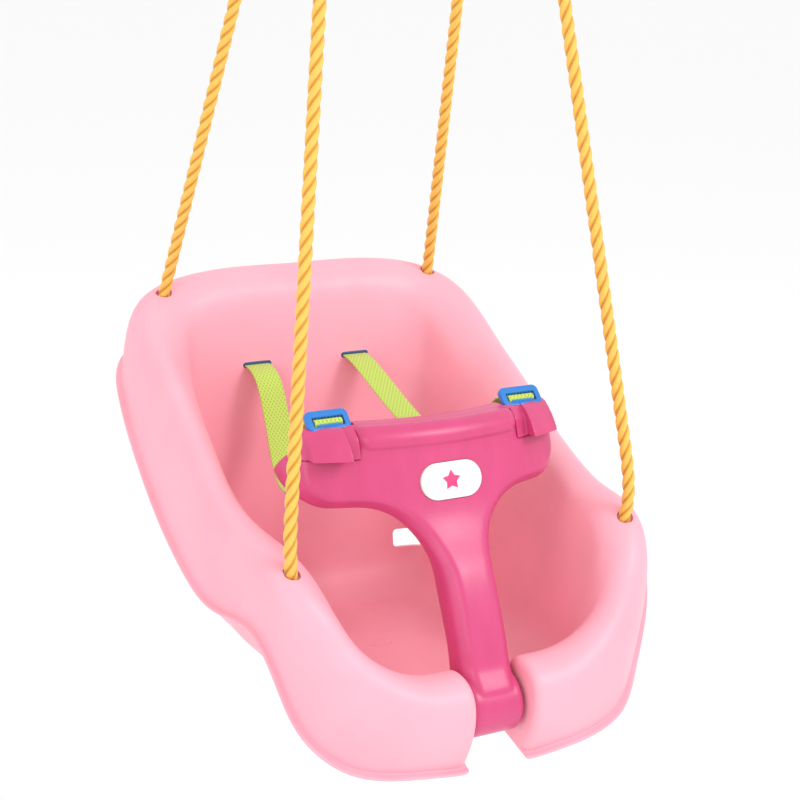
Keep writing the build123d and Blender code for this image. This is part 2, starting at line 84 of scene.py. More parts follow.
# ---------------------------------------------------------------- small helpers
def swung(points):
    """Turns places in metres about the hanging axis, to where they hang at rest."""
    x, y, z = np.asarray(points, float).reshape(-1, 3).T
    turned_y = y * cos(REST_LEAN) - z * sin(REST_LEAN)
    turned_z = y * sin(REST_LEAN) + z * cos(REST_LEAN)
    return np.stack([x, turned_y, turned_z], 1)


def hang(points):
    """Seat coordinates in mm to the frame in metres."""
    return swung((np.asarray(points, float).reshape(-1, 3) - HANG) * MM)


def hang_row(points):
    """Millimetres from the hanging axis to the frame, for what hangs right under the rings."""
    return swung(flat(points))


def unit(vectors):
    return vectors / np.linalg.norm(vectors, axis=-1, keepdims=True)


def bezier(a, b, c, d, t):
    """Point at t on the cubic curve with the control points a, b, c, d."""
    s = 1 - t
    return a * s**3 + b * (3 * s * s * t) + c * (3 * s * t * t) + d * t**3


def clamped_spline(knots, values, start, end, at):
    """Smooth curve through values at knots, with the slopes start and end at its two ends."""
    step = np.diff(knots)
    rise = np.diff(values, axis=0) / step[:, None]
    count = len(knots)
    system, target = np.zeros((count, count)), np.zeros(values.shape)
    system[0, 0] = system[-1, -1] = 1
    target[0], target[-1] = start, end
    for k in range(1, count - 1):
        before, after = step[k - 1], step[k]
        system[k, k - 1:k + 2] = after, 2 * (before + after), before
        target[k] = 3 * (after * rise[k - 1] + before * rise[k])
    slopes = np.linalg.solve(system, target)
    span = np.clip(np.searchsorted(knots, at, side="right") - 1, 0, count - 2)
    width = step[span][:, None]
    t = (at - knots[span])[:, None] / width
    low, high = values[span], values[span + 1]
    bend = t * (1 - t) * (slopes[span] * (1 - t) - slopes[span + 1] * t) * width
    return low * (1 + 2 * t) * (1 - t) ** 2 + high * t * t * (3 - 2 * t) + bend


def smooth_through(points, step):
    """Even points, one per step, on a smooth curve through a few points."""
    points = np.asarray(points, float)
    knots = np.concatenate([[0], np.cumsum(np.linalg.norm(np.diff(points, axis=0), axis=1))])
    start = (points[1] - points[0]) / knots[1]
    end = (points[-1] - points[-2]) / (knots[-1] - knots[-2])
    at = np.linspace(0, knots[-1], int(knots[-1] / step) + 2)
    return clamped_spline(knots, points, start, end, at)


def mesh_piece(name, places, faces):
    """Mesh object from places in metres and faces as lists of their numbers."""
    mesh = bpy.data.meshes.new(name)
    mesh.from_pydata([tuple(p) for p in places], [], [tuple(f) for f in faces])
    piece = bpy.data.objects.new(name, mesh)
    bpy.context.scene.collection.objects.link(piece)
    return piece


def drop(piece):
    """Removes an object that was only a tool."""
    mesh = piece.data
    bpy.data.objects.remove(piece)
    bpy.data.meshes.remove(mesh)


def finish_mesh(piece, sharp=40):
    """Welds doubles, turns the faces outwards and shades smooth except at sharp edges."""
    form = bmesh.new()
    form.from_mesh(piece.data)
    bmesh.ops.remove_doubles(form, verts=form.verts, dist=2e-6)
    loose = [v for v in form.verts if not v.link_faces]
    bmesh.ops.delete(form, geom=loose, context="VERTS")
    bmesh.ops.recalc_face_normals(form, faces=form.faces)
    form.to_mesh(piece.data)
    form.free()
    piece.data.shade_smooth()
    piece.data.set_sharp_from_angle(angle=radians(sharp))
    return piece


def settle(piece):
    """Turns the piece's modifiers into its mesh."""
    bpy.context.view_layer.update()
    graph = bpy.context.evaluated_depsgraph_get()
    settled = bpy.data.meshes.new_from_object(piece.evaluated_get(graph))
    before = piece.data
    piece.modifiers.clear()
    piece.data = settled
    settled.name = piece.name
    bpy.data.meshes.remove(before)
    return piece


def combine(piece, tools, operation="DIFFERENCE"):
    """Cuts the tools out of the piece, or adds or intersects them, and removes them."""
    for tool in tools:
        finish_mesh(tool)
        change = piece.modifiers.new("combine", "BOOLEAN")
        change.operation = operation
        change.solver = "EXACT"
        change.object = tool
    settle(piece)
    for tool in tools:
        drop(tool)
    return piece


def fuse(name, forms, voxel, rounds):
    """Joins overlapping closed forms into one skin and softens its edges."""
    body = bmesh.new()
    for form in forms:
        finish_mesh(form)
        body.from_mesh(form.data)
        drop(form)
    piece = mesh_piece(name, [], [])
    body.to_mesh(piece.data)
    body.free()
    skin = piece.modifiers.new("skin", "REMESH")
    skin.mode = "VOXEL"
    skin.voxel_size = voxel * MM
    soften = piece.modifiers.new("soften", "SMOOTH")
    soften.factor = 0.5
    soften.iterations = rounds
    return settle(piece)


def bevel(piece, width, segments=3, angle=35):
    """Rounds the piece's sharp edges by width mm."""
    change = piece.modifiers.new("bevel", "BEVEL")
    change.width = width * MM
    change.segments = segments
    change.limit_method = "ANGLE"
    change.angle_limit = radians(angle)
    change.harden_normals = False
    return settle(piece)


def reshape(piece, change):
    """Moves every point of the piece by a function of its place in mm, to metres."""
    mesh = piece.data
    places = np.zeros(len(mesh.vertices) * 3)
    mesh.vertices.foreach_get("co", places)
    mesh.vertices.foreach_set("co", change(places.reshape(-1, 3) / MM).ravel())
    mesh.update()
    return piece


def flat(points):
    """Flat working coordinates in mm to metres, with no move."""
    return np.asarray(points, float).reshape(-1, 3) * MM


def prism(name, outline, along, low, high, place=hang):
    """Closed prism: an outline in the two other axes' coordinates, from low to high along one."""
    axis = "xyz".index(along)
    others = [k for k in range(3) if k != axis]
    count = len(outline)
    points = np.zeros((2 * count, 3))
    points[:, others] = list(outline) * 2
    points[:count, axis], points[count:, axis] = low, high
    ring = range(count)
    faces = [list(ring), [k + count for k in ring]]
    faces += [(k, (k + 1) % count, (k + 1) % count + count, k + count) for k in ring]
    return mesh_piece(name, place(points), faces)


def box(name, low, high, place=hang):
    outline = [(low[1], low[2]), (high[1], low[2]), (high[1], high[2]), (low[1], high[2])]
    return prism(name, outline, "x", low[0], high[0], place)


def loft(name, rings, place=hang, caps=True):
    """Skin over closed rings of equally many points."""
    rings = np.asarray(rings, float)
    count, size = rings.shape[:2]
    faces = []
    for i in range(count - 1):
        for j in range(size):
            k = (j + 1) % size
            faces.append((i * size + j, i * size + k, (i + 1) * size + k, (i + 1) * size + j))
    if caps:
        faces += [list(range(size)), list(range((count - 1) * size, count * size))]
    return mesh_piece(name, place(rings.reshape(-1, 3)), faces)


def arc(centre, radius, start, end, count):
    """Points on an arc of a circle, angles in degrees."""
    angles = np.radians(np.linspace(start, end, count))
    return [(centre[0] + radius * cos(a), centre[1] + radius * sin(a)) for a in angles]


def rounded(width, height, radius, centre=(0, 0), count=7):
    """Rectangle with rounded corners."""
    x, y = width / 2 - radius, height / 2 - radius
    corners = (((x, y), 0), ((-x, y), 90), ((-x, -y), 180), ((x, -y), 270))
    outline = []
    for (cx, cy), turn in corners:
        outline += arc((centre[0] + cx, centre[1] + cy), radius, turn, turn + 90, count)
    return outline


# ---------------------------------------------------------------- materials
class Finish:
    """A material being wired: one Principled shader and the nodes that feed it."""

    def __init__(self, name, roughness, **constants):
        self.material = bpy.data.materials.new(name)
        self.material.use_nodes = True
        self.tree = self.material.node_tree
        self.shader = self.tree.nodes["Principled BSDF"]
        self.shader.inputs["Roughness"].default_value = roughness
        for socket, value in constants.items():
            self.shader.inputs[socket.replace("_", " ")].default_value = value

    def node(self, kind, feeds=(), **settings):
        """Adds a node, sets its properties or sockets and links the given sockets."""
        made = self.tree.nodes.new("ShaderNode" + kind)
        for name, value in settings.items():
            socket = name.replace("_", " ")
            if socket in made.inputs:
                made.inputs[socket].default_value = value
            else:
                setattr(made, name, value)
        for socket, source in dict(feeds).items():
            self.tree.links.new(source, made.inputs[socket])
        return made

    def ramp(self, source, *stops):
        """Colour ramp of (position, colour) stops."""
        made = self.node("ValToRGB", {"Fac": source})
        elements = made.color_ramp.elements
        while len(elements) < len(stops):
            elements.new(0.5)
        for element, (position, colour) in zip(elements, stops):
            element.position = position
            element.color = (*colour, 1)
        return made.outputs["Color"]

    def range(self, source, low, high):
        """Maps 0..1 to low..high."""
        return self.node("MapRange", {"Value": source}, To_Min=low, To_Max=high).outputs["Result"]

    def noise(self, vector, scale, detail=2.0, roughness=0.5):
        made = self.node("TexNoise", {"Vector": vector}, Scale=scale, Detail=detail)
        made.inputs["Roughness"].default_value = roughness
        return made.outputs["Fac"]

    def stretched(self, vector, scale):
        return self.node("Mapping", {"Vector": vector}, Scale=scale).outputs["Vector"]

    def bump(self, height, distance, strength=1.0, under=None):
        feeds = {"Height": height}
        if under:
            feeds["Normal"] = under
        made = self.node("Bump", feeds, Distance=distance, Strength=strength)
        return made.outputs["Normal"]

    def into(self, socket, source):
        self.tree.links.new(source, self.shader.inputs[socket])


def tint(colour, share):
    return tuple(min(1.0, c * share) for c in colour)


def moulded_plastic(name, colour, roughness, grain=0.00004, streak=0.0, **constants):
    """Satin moulded plastic: faint cloudiness, fine orange peel and uneven gloss."""
    made = Finish(name, roughness, **constants)
    place = made.node("TexCoord").outputs["Object"]
    clouds = made.noise(place, 14, 3)
    if streak:
        clouds = made.noise(made.stretched(place, (60, 60, 4)), streak, 3)
    shades = made.ramp(clouds, (0.3, tint(colour, 0.95)), (0.7, tint(colour, 1.04)))
    made.into("Base Color", shades)
    made.into("Roughness", made.range(made.noise(place, 60, 4), roughness - 0.06, roughness + 0.06))
    peel = made.bump(made.noise(place, 380, 2), grain * 3, 0.5)
    made.into("Normal", made.bump(made.noise(place, 1500, 2), grain, 0.5, peel))
    return made.material


def rope_finish():
    """Polypropylene rope: fine yarns along each strand, and painted shade that darkens it between
    the strands.
    """
    made = Finish("rope_yellow", 0.5, Sheen_Weight=0.25, Specular_IOR_Level=0.4)
    place = made.node("UVMap", uv_map="strands").outputs["UV"]
    parts = made.node("SeparateXYZ", {"Vector": place})
    # Groove mask: how near each point lies to a groove between two strands, where painted shade
    # goes.
    fold = made.node("Math", {0: parts.outputs["X"]}, operation="FRACT").outputs["Value"]
    groove_shade_mask = made.node("Math", {0: fold}, operation="PINGPONG")
    groove_shade_mask.inputs[1].default_value = 0.5
    yarns = made.noise(made.stretched(place, (26, 60, 1)), 1.0, 3, 0.6)
    wear = made.noise(made.stretched(place, (2, 25, 1)), 1.0, 2)
    # The darker colour is painted shade for the grooves between the strands; the lighter one is the
    # rope's own yellow.
    groove_shade_colour, light = (0.66, 0.27, 0.02), (1.0, 0.60, 0.10)
    shade = made.ramp(groove_shade_mask.outputs["Value"], (0.02, groove_shade_colour), (0.26, light))
    fibre = made.ramp(yarns, (0.3, (0.80, 0.66, 0.55)), (0.62, (1.0, 1.0, 1.0)))
    blend = made.node("Mix", data_type="RGBA", blend_type="MULTIPLY")
    blend.inputs["Factor"].default_value = 0.7
    made.tree.links.new(shade, blend.inputs[6])
    made.tree.links.new(fibre, blend.inputs[7])
    made.into("Base Color", blend.outputs[2])
    made.into("Roughness", made.range(wear, 0.38, 0.62))
    made.into("Normal", made.bump(yarns, 0.0005, 0.7))
    return made.material


def webbing_finish(name, colour):
    """Woven strap: rows of yarn across and a fine diagonal weave, with a little fuzz."""
    made = Finish(name, 0.75, Sheen_Weight=0.3, Specular_IOR_Level=0.25)
    place = made.node("UVMap", uv_map="weave").outputs["UV"]
    waves = []
    for turn, pitch in ((35, 1.5), (-35, 1.5)):
        tilted = made.node("Mapping", {"Vector": place}, Rotation=(0, 0, radians(turn)))
        wave = made.node("TexWave", {"Vector": tilted.outputs["Vector"]}, Scale=1000 / pitch / 6.28)
        waves.append(wave.outputs["Fac"])
    both = made.node("Math", {0: waves[0], 1: waves[1]}, operation="MAXIMUM").outputs["Value"]
    fuzz = made.noise(place, 900, 3)
    made.into("Base Color", made.ramp(both, (0.15, tint(colour, 0.68)), (0.8, tint(colour, 1.08))))
    made.into("Roughness", made.range(fuzz, 0.65, 0.9))
    made.into("Normal", made.bump(fuzz, 0.0001, 0.3, made.bump(both, 0.0003, 0.8)))
    return made.material


def zinc_finish():
    """Zinc-plated steel: bright, with faint spangle and fine scratches."""
    made = Finish("zinc_steel", 0.32, Metallic=1.0)
    place = made.node("TexCoord").outputs["Object"]
    spangle = made.node("TexVoronoi", {"Vector": place}, Scale=260.0).outputs["Distance"]
    scratch = made.noise(made.stretched(place, (40, 900, 900)), 1.0, 3)
    dull, bright = (0.62, 0.63, 0.65), (0.80, 0.81, 0.83)
    made.into("Base Color", made.ramp(spangle, (0.0, dull), (0.7, bright)))
    made.into("Roughness", made.range(scratch, 0.22, 0.42))
    made.into("Normal", made.bump(scratch, 0.00004, 0.4))
    return made.material


FINISHES = {
    "seat_pink": moulded_plastic("seat_pink", (0.95, 0.41, 0.50), 0.42, Specular_IOR_Level=0.4),
    "guard_magenta": moulded_plastic(
        "guard_magenta", (0.62, 0.058, 0.19), 0.34, streak=1.0, Specular_IOR_Level=0.5),
    "badge_white": moulded_plastic("badge_white", (0.90, 0.88, 0.82), 0.25, Coat_Weight=0.4),
    "badge_accent": moulded_plastic("badge_accent", (0.80, 0.055, 0.20), 0.3),
    "clamp_plastic": moulded_plastic("clamp_plastic", (0.82, 0.81, 0.78), 0.4),
    "rope_yellow": rope_finish(),
    "zinc_steel": zinc_finish(),
    "cap_plastic": moulded_plastic("cap_plastic", (0.03, 0.03, 0.032), 0.45),
    "webbing_green": webbing_finish("webbing_green", (0.50, 0.66, 0.11)),
    "anchor_blue": moulded_plastic("anchor_blue", (0.02, 0.07, 0.22), 0.4),
    "buckle_blue": moulded_plastic("buckle_blue", (0.015, 0.20, 0.62), 0.3, Coat_Weight=0.2),
}


def dress(piece, slot, body, *nodes):
    """Gives the piece its finish and its body, and hides the CAD nodes that it stands for."""
    piece.data.materials.clear()
    piece.data.materials.append(FINISHES[slot])
    if body:
        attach(piece, body)
    if nodes:
        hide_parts(*nodes)
    return piece


# ---------------------------------------------------------------- ropes
LAY_LENGTH = 0.039        # one full turn of the three strands
LOBE_AWAY, LOBE_R = 0.0021, 0.0034
ROUTE = [
    (0.139, 0.248, -0.639), (0.0776, 0.0295, -0.1162), (0.071, 0.006, -0.060),
    (0.071, 0.006, -0.020), (0.071, 0.01013, 0.00451), (0.071, 0.0, 0.01109),
    (0.071, -0.01013, 0.00451), (0.071, -0.006, -0.020), (0.071, -0.006, -0.060),
    (0.0792, -0.01275, -0.1252), (0.1499, -0.0713, -0.6905), (0.158, -0.078, -0.756),
    (0.155, -0.074, -0.786), (0.154, -0.066, -0.808),
]


def route_on(side):
    """The route of the rope on one side, as it hangs."""
    return [tuple(p) for p in swung([(side * x, y, z) for x, y, z in ROUTE])]


def route_line(points):
    """The smooth line of a route, as points close together."""
    data = bpy.data.curves.new("route", "CURVE")
    data.dimensions = "3D"
    spline = data.splines.new("NURBS")
    spline.points.add(len(points) - 1)
    for point, place in zip(spline.points, points):
        point.co = (*place, 1)
    spline.order_u = 3
    spline.use_endpoint_u = True
    spline.resolution_u = 48
    holder = bpy.data.objects.new("route", data)
    bpy.context.scene.collection.objects.link(holder)
    mesh = bpy.data.meshes.new_from_object(holder)
    line = np.array([v.co[:] for v in mesh.vertices])
    bpy.data.objects.remove(holder)
    bpy.data.curves.remove(data)
    bpy.data.meshes.remove(mesh)
    return line


def evenly(line, step):
    """Points at even distances along a line of many points."""
    travelled = np.concatenate([[0], np.cumsum(np.linalg.norm(np.diff(line, axis=0), axis=1))])
    at = np.linspace(0, travelled[-1], int(travelled[-1] / step) + 2)
    return np.stack([np.interp(at, travelled, line[:, k]) for k in range(3)], 1), at


def laid_rope(name, line, start=0.0, around=30):
    """Three-strand rope along a line in metres, with the strands' turns laid down as UV."""
    places, travelled = evenly(line, 0.0016)
    tangents = unit(np.gradient(places, axis=0))
    side = np.cross(tangents[0], (0.3, 0.8, 0.52))
    phase = np.arange(around) / around
    lobe = (phase * 3) % 1 - 0.5
    swing = lobe * 2 * pi / 3
    reach = LOBE_AWAY * np.cos(swing) + np.sqrt(LOBE_R**2 - (LOBE_AWAY * np.sin(swing)) ** 2)
    rings = []
    for place, tangent, distance in zip(places, tangents, travelled):
        side = unit(side - tangent * (side @ tangent))
        other = np.cross(tangent, side)
        angle = 2 * pi * (phase + start + distance / LAY_LENGTH)
        ring = np.outer(np.cos(angle), side) + np.outer(np.sin(angle), other)
        rings.append(place + ring * reach[:, None])
    rope = loft(name, rings, np.asarray)
    numbers = np.zeros(len(rope.data.loops), int)
    rope.data.loops.foreach_get("vertex_index", numbers)
    turn = (numbers % around) / around * 3
    wrapped = np.zeros(len(numbers), bool)
    for polygon in rope.data.polygons:
        part = slice(polygon.loop_start, polygon.loop_start + polygon.loop_total)
        if polygon.loop_total == 4 and np.ptp(turn[part]) > 1.5:
            wrapped[part] = turn[part] < 1.5
    turn = turn + wrapped * 3
    layer = rope.data.uv_layers.new(name="strands")
    layer.data.foreach_set("uv", np.stack([turn, travelled[numbers // around] * 10], 1).ravel())
    finish_ropes(rope)
    return rope


def finish_ropes(rope):
    """Smooth shading with faces outwards; a rope keeps its UV, so nothing is welded."""
    form = bmesh.new()
    form.from_mesh(rope.data)
    bmesh.ops.recalc_face_normals(form, faces=form.faces)
    form.to_mesh(rope.data)
    form.free()
    rope.data.shade_smooth()
    rope.data.set_sharp_from_angle(angle=radians(70))


def stopper_knot(name, top, above):
    """Rope end below a hole: two close turns round the rope and a short straight tail."""
    down = unit(np.array(top) - np.array(above))
    side = unit(np.cross(down, (0, 1, 0)))
    other = np.cross(down, side)
    turns = np.linspace(0, 1, 90)
    angle = 2 * pi * 1.8 * turns
    ring = np.outer(np.cos(angle), side) + np.outer(np.sin(angle), other)
    level = np.outer(0.0055 + 0.0095 * turns, down)
    coil = laid_rope(name, np.array(top) + level + ring * 0.0058)
    tail_line = np.array(top) + np.outer(np.linspace(0.001, 0.040, 12), down)
    tail = laid_rope("tail", tail_line)
    body = bmesh.new()
    for form in (coil, tail):
        body.from_mesh(form.data)
    body.to_mesh(coil.data)
    body.free()
    coil.data.shade_smooth()
    drop(tail)
    return coil


CLAMP_BORE_R = 5.6
RING_WIRE_R = 3.5
RING_R = 22               # to the middle of the wire; it is also the ring's centre height


def clamp_sleeve(name, side):
    """Moulded two-hole sleeve with softened ends and three grip grooves."""
    reach, radius, low, high = 14.5, 8.5, -51.0, -29.0
    profile = [(low, 1.6), (low + 0.5, 0.6), (low + 1.6, 0)]
    for groove in (-45, -40, -35):
        profile += [(groove - 1.2, 0), (groove - 0.6, 0.7), (groove + 0.6, 0.7), (groove + 1.2, 0)]
    profile += [(high - 1.6, 0), (high - 0.5, 0.6), (high, 1.6)]
    rings = []
    for level, inset in profile:
        width, height = 2 * (radius - inset), 2 * (reach - inset)
        outline = rounded(width, height, radius - inset - 0.01, count=12)
        rings.append([(side * RING_X + x, y, level) for x, y in outline])
    sleeve = finish_mesh(loft(name, rings, hang_row))
    holes = []
    for y in (-6, 6):
        bore = [(side * RING_X + x, y + z) for x, z in arc((0, 0), CLAMP_BORE_R, 0, 350, 36)]
        holes.append(prism("bore", bore, "z", low - 2, high + 2, hang_row))
    return finish_mesh(combine(sleeve, holes), 30)


def steel_ring(name, side):
    """Welded round ring of 7 mm wire, with the weld's low bead at the top."""
    rings = []
    for turn in np.radians(np.arange(0, 360, 5)):
        bar = RING_WIRE_R + 0.45 * np.exp(-((turn - pi / 2) / 0.07) ** 2)
        outward = np.array((cos(turn), 0, sin(turn)))
        centre = np.array((side * RING_X, 0, RING_R)) + RING_R * outward
        section = np.radians(np.arange(0, 360, 20))
        rings.append([centre + bar * (cos(a) * outward + sin(a) * np.array((0, 1, 0)))
                      for a in section])
    return finish_mesh(loft(name, rings + rings[:1], flat, caps=False))


for name, side in SIDES:
    route = route_on(side)
    line = route_line(route)
    rope = dress(laid_rope(f"rope_{name}_laid", line), "rope_yellow", "seat", f"rope_{name}")
    rear = stopper_knot(f"knot_rear_{name}", route[0], route[1])
    dress(rear, "rope_yellow", "seat", f"rope_knot_rear_{name}")
    front = stopper_knot(f"knot_front_{name}", route[-1], route[-2])
    dress(front, "rope_yellow", "seat", f"rope_knot_front_{name}")
    sleeve = clamp_sleeve(f"sleeve_{name}", side)
    dress(sleeve, "clamp_plastic", "seat", f"rope_clamp_{name}")
    dress(steel_ring(f"steel_ring_{name}", side), "zinc_steel", "hangers", f"ring_{name}")


# ---------------------------------------------------------------- bucket seat
# Right half, from the gap in front round to the middle of the back: the foot of the bucket's
# wall, the inner edge of the rim, its crest, the skirt's lip and how far the skirt bulges.
STATIONS = [
    ((27, -2, -112), (27, -25, -93), (27, -37, -85.5), (27, -50, -164), 29),
    ((62, -2, -112), (62, -25, -93), (62, -37, -84), (62, -58, -156.5), 20),
    ((85, 1, -110), (90, -23, -84), (95, -38, -70), (98, -51, -153.5), 16),
    ((98, 6, -108), (108, -22, -66), (118, -35, -50), (129, -38, -145), 14),
    ((108, 15, -106), (120, -16, -37), (136, -28, -24), (155, -18, -118), 12),
    ((115, 28, -105), (129, 2, -6), (149, -10, -2), (170, -8, -77), 8),
    ((119, 48, -105), (134, 24, 8), (156, 14, 13), (179, 10, -44), 4),
    ((120, 75, -105), (138, 58, 16), (161, 52, 20), (183, 58, -41), 0),
    ((121, 110, -105), (146, 92, 24), (165, 92, 31), (184, 108, -42), 0),
    ((121, 150, -104), (147, 136, 39), (165, 134, 54), (184, 164, -22), 0),
    ((121, 195, -102), (141, 182, 60), (164, 180, 86), (184, 216, 10), 0),
    ((119, 235, -98), (135, 228, 86), (162, 226, 116), (182, 268, 49), 0),
    ((119, 262, -95), (128, 266, 118), (158, 268, 145), (179, 305, 82), 0),
    ((116, 277, -93), (121, 287, 143), (149, 294, 163), (172, 330, 104), 0),
    ((106, 286, -92), (109, 298, 158), (128, 317, 178), (147, 350, 121), 0),
    ((80, 290, -92), (86, 303, 167), (92, 327, 186), (98, 353, 127), 0),
    ((0, 290, -92), (0, 304, 170), (0, 329, 188), (0, 353, 128), 0),
]
WALL = 4.0
FLOOR_Z = -135.0
GAP_HALF = 27.0
FOOT_HALF = 121           # half of the bucket's width at the foot of its walls
FLOOR_ROUND = 38          # width of the rounding between the floor and the side walls
FLOOR_MIDDLE_Y = 145
FLOOR_PULL = 0.28         # share of the way to the middle taken by the front and back roundings
INNER_ROUND, INNER_PULL = 13, 8   # where the rim's rounding starts inside, and how firmly
SKIRT_OUT = 0.9           # share of the reach that is made before the skirt's straight fall
SHOULDER_REACH, SHOULDER_EXTRA = 0.62, 5
SHOULDER_BULGE = 0.9      # share of a station's bulge that its shoulder takes
HEM_RISE = 0.52           # share of the skirt's length that falls nearly straight
ROPE_HOLE_R = 7.2
END_ROUND = 7.0           # rounding of the rim's ends at the gap
COLUMN = 5.0              # distance between the mesh's columns along the rim


def rim_keys():
    """Stations close together along the rim, their bulges and their distances from the gap."""
    values = np.array([[*foot, *inner, *crest, *lip, bulge]
                       for foot, inner, crest, lip, bulge in STATIONS], float)
    steps = np.linalg.norm(np.diff(values[:, 6:9], axis=0), axis=1)
    knots = np.concatenate([[0], np.cumsum(steps)])
    start, end = np.zeros(13), np.zeros(13)
    start[0:12:3] = 1
    end[0:12:3] = (values[-1] - values[-2])[0:12:3] / (knots[-1] - knots[-2])
    rounding = END_ROUND * (1 - np.cos(np.linspace(0, pi / 2, 8)))
    rest = np.linspace(END_ROUND, knots[-1], int((knots[-1] - END_ROUND) / COLUMN) + 1)[1:]
    at = np.concatenate([rounding, rest])
    keys = clamped_spline(knots, values, start, end, at)
    return keys[:, :12].reshape(-1, 4, 3), keys[:, 12:], at


def rim_surface(keys, bulge):
    """Upper and under skins as stations x rows x 3, and the row at the foot of the wall."""
    foot, inner, crest, lip = (keys[:, k] for k in range(4))
    outward = crest - inner
    outward[:, 2] = 0
    outward = unit(outward)
    sideways = np.maximum(0, (foot[:, 0] - GAP_HALF) / (FOOT_HALF - GAP_HALF))
    lengthways = (FLOOR_MIDDLE_Y - foot[:, 1]) * FLOOR_PULL
    to_floor = np.stack([-FLOOR_ROUND * sideways**2, lengthways, 0 * sideways], 1)
    drop_down = (foot[:, 2] - FLOOR_Z)[:, None] * UP
    rows = []
    for turn in np.radians(np.linspace(90, 9, 10)):
        rows.append(foot + to_floor * (1 - cos(turn)) - drop_down * sin(turn))
    foot_row = len(rows)
    rise = unit(inner - foot)
    wall_top = inner - rise * INNER_ROUND
    rows += [foot + (wall_top - foot) * t for t in np.linspace(0, 1, 8)[:-1]]
    turn_in, turn_out = wall_top + rise * INNER_PULL, crest - outward * INNER_ROUND
    rows += [bezier(wall_top, turn_in, turn_out, crest, t) for t in np.linspace(0, 1, 10)[:-1]]
    reach = ((lip - crest) * outward).sum(1)[:, None]
    down = unit(lip - crest - outward * reach * SKIRT_OUT)
    length = np.linalg.norm(lip - crest, axis=1)[:, None]
    over = reach * SHOULDER_REACH + SHOULDER_EXTRA + bulge * SHOULDER_BULGE
    shoulder = crest + outward * over
    hem = lip - down * length * HEM_RISE + outward * bulge
    rows += [bezier(crest, shoulder, hem, lip, t) for t in np.linspace(0, 1, 27)]
    upper = np.stack(rows, 1)
    for _ in range(5):
        middle = (upper[:, :-2] + upper[:, 2:]) / 2
        upper[:, 2:-2] += 0.5 * (middle - upper[:, 1:-1])[:, 1:-1]
    around = np.gradient(upper, axis=0)
    around[0], around[-1] = (1, 0, 0), (-1, 0, 0)
    normals = unit(np.cross(np.gradient(upper, axis=1), around))
    under = upper - normals * WALL
    under[:, 0] = upper[:, 0] - UP * WALL
    # the lip's small flange, with rounded edges
    flange = ((1.0, 0.4), (1.5, 1.6), (1.9, 4.0), (2.5, 4.8), (3.9, 4.9), (4.7, 4.2))
    inside = under[:, -1]
    outer_edge = np.stack([lip + down * d + outward * o for d, o in flange], 1)
    inner_edge = np.stack([inside + down * d for d, _ in flange], 1)
    upper = np.concatenate([upper, outer_edge], 1)
    under = np.concatenate([under, inner_edge], 1)
    return upper, under, normals, foot_row


def rounded_ends(upper, normals, foot_row, at):
    """Rounds the rim's end at the gap over towards the end wall."""
    rows, plain = upper.shape[1], normals.shape[1]
    inset_way = np.zeros_like(upper)
    inset_way[:, :plain] = normals
    inset_way[:, plain:] = normals[:, -1:]
    fade = np.clip((np.arange(rows) - foot_row) / 5, 0, 1)
    fade[plain:] = 0.25
    for k in range(np.searchsorted(at, END_ROUND - 1e-6)):
        inset = END_ROUND - sqrt(END_ROUND**2 - (END_ROUND - at[k]) ** 2)
        upper[k] -= inset_way[k] * (inset * fade)[:, None]


def seat_half():
    """Right half of the seat shell as one closed skin, open only at the middle plane."""
    keys, bulge, at = rim_keys()
    upper, under, normals, foot_row = rim_surface(keys, bulge)
    rounded_ends(upper, normals, foot_row, at)
    places, faces = [], []

    def number(points):
        points = np.asarray(points, float)
        first = len(places)
        places.extend(points.reshape(-1, 3))
        return np.arange(first, first + points[..., 0].size).reshape(points.shape[:-1])

    def grid(numbers):
        for a, b in zip(numbers, numbers[1:]):
            for k in range(len(a) - 1):
                faces.append((a[k], a[k + 1], b[k + 1], b[k]))

    top, low = number(upper), number(under)
    inner_end = int(np.searchsorted(at, END_ROUND - 1e-6))
    grid(top)
    grid(low[inner_end:])
    grid([top[inner_end:, -1], low[inner_end:, -1]])
    # low front wall under the gap
    for skin, numbers in ((upper, top), (under, low)):
        front = np.array([[(x, p[1], p[2]) for p in skin[0, :foot_row + 1]] for x in (0, 9, 18)])
        wall = np.concatenate([number(front), numbers[:1, :foot_row + 1]])
        grid(wall)
        loop = np.concatenate([wall[:-1, 0], numbers[:, 0]])
        edge = np.array([places[k] for k in loop])
        middle = np.array((0, FLOOR_MIDDLE_Y, edge[0, 2]))
        rings = [loop] + [number(middle + (edge - middle) * s) for s in (0.85, 0.65, 0.42, 0.2)]
        grid(rings)
        centre = number(middle[None])[0]
        faces.extend((a, b, centre) for a, b in zip(rings[-1], rings[-1][1:]))
        if skin is upper:
            notch = wall[:, -1]
        else:
            grid([notch, wall[:, -1]])
    # end wall at the gap: outer face, inner face and lower edge
    faces.append([*top[0, foot_row:], *low[0, :foot_row + 1]])
    faces.append([*low[inner_end]])
    faces.append([*top[:inner_end + 1, -1], low[inner_end, -1], *low[inner_end::-1, 0]])
    return places, faces


def strap_slot_outline(side, width, height):
    """Strap slot in the backrest, as (x, z)."""
    return rounded(width, height, height / 2 - 0.01, (side * SLOT_X, SLOT_Z), 10)


